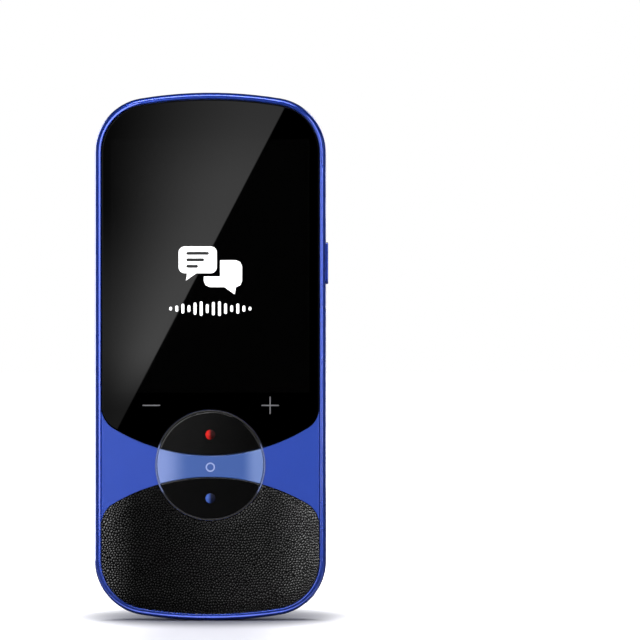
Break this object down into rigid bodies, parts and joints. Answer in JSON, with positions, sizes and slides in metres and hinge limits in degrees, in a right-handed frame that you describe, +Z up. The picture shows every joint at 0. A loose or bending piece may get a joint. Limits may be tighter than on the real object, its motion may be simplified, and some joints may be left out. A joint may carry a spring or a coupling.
{
  "type": "handheld translator",
  "caption": "Pocket voice translator with a black glass screen, round key disc, leather thumb pad, blue frame, bevelled back shell, rear speaker grille and camera.",
  "frame": {"origin": "middle of the bottom end: centre of the width and depth, at the lowest point", "axes": "+Z up the long side, -Y out of the screen towards the user, +X towards the side with the power key"},
  "size_m": [0.0575, 0.013, 0.13],
  "materials": {
    "frame_paint": "satin",
    "shell_plastic": "satin",
    "band_plastic": "satin",
    "screen_glass": "polished, black printed border, display off",
    "adhesive": "matt",
    "display": "gloss",
    "flex_film": "satin",
    "leather": "pebbled",
    "ring_metal": "bright anodised",
    "key_black": "gloss",
    "key_blue": "satin",
    "dot_red": "gloss",
    "dot_blue": "gloss",
    "mark_pale": "satin",
    "silicone": "matt",
    "steel": "polished",
    "board": "solder resist",
    "black_plastic": "moulded",
    "silicone_black": "matt",
    "ring_black": "gloss black",
    "lens_glass": "polished",
    "mesh_fabric": "woven",
    "battery_foil": "satin foil"
  },
  "bodies": {
    "housing": {"side_frame": "frame_paint", "back_shell": "shell_plastic", "front_panel": "band_plastic", "screen_glass": "screen_glass", "glass_gasket": "adhesive", "display_module": "display", "display_ribbon": "flex_film", "leather_pad": "leather", "key_bezel": "ring_metal", "key_membrane": "silicone", "key_switches": "steel", "key_board": "board", "key_board_screws": "steel", "main_board": "board", "main_board_screws": "steel", "shield_can": "steel", "power_switch": "black_plastic", "side_microphone": "steel", "mic_gasket": "silicone_black", "lanyard_bar": "frame_paint", "camera_bezel": "ring_black", "camera_window": "lens_glass", "camera_holder": "black_plastic", "camera_barrel": "black_plastic", "camera_lens": "lens_glass", "speaker": "black_plastic", "speaker_gasket": "silicone_black", "speaker_mesh": "mesh_fabric", "battery": "battery_foil", "battery_tape": "adhesive", "charging_port": "steel", "port_tongue": "black_plastic", "port_board": "board", "port_board_screws": "steel", "board_ribbon": "flex_film", "antenna": "flex_film"},
    "upper_talk_key": {"upper_talk_key": "key_black", "upper_key_dot": "dot_red"},
    "home_key": {"home_key": "key_blue", "home_key_mark": "mark_pale"},
    "lower_talk_key": {"lower_talk_key": "key_black", "lower_key_dot": "dot_blue"},
    "power_key": {"power_key": "frame_paint"}
  },
  "joints": [
    {"name": "upper_key_press", "type": "slide", "parent": "housing", "child": "upper_talk_key", "axis": [0, 1, 0], "range_m": [0, 0.0005], "stiffness_N_per_m": 800},
    {"name": "home_key_press", "type": "slide", "parent": "housing", "child": "home_key", "axis": [0, 1, 0], "range_m": [0, 0.0005], "stiffness_N_per_m": 800},
    {"name": "lower_key_press", "type": "slide", "parent": "housing", "child": "lower_talk_key", "axis": [0, 1, 0], "range_m": [0, 0.0005], "stiffness_N_per_m": 800},
    {"name": "power_key_press", "type": "slide", "parent": "housing", "child": "power_key", "axis": [-1, 0, 0], "range_m": [0, 0.0004], "stiffness_N_per_m": 800}
  ]
}
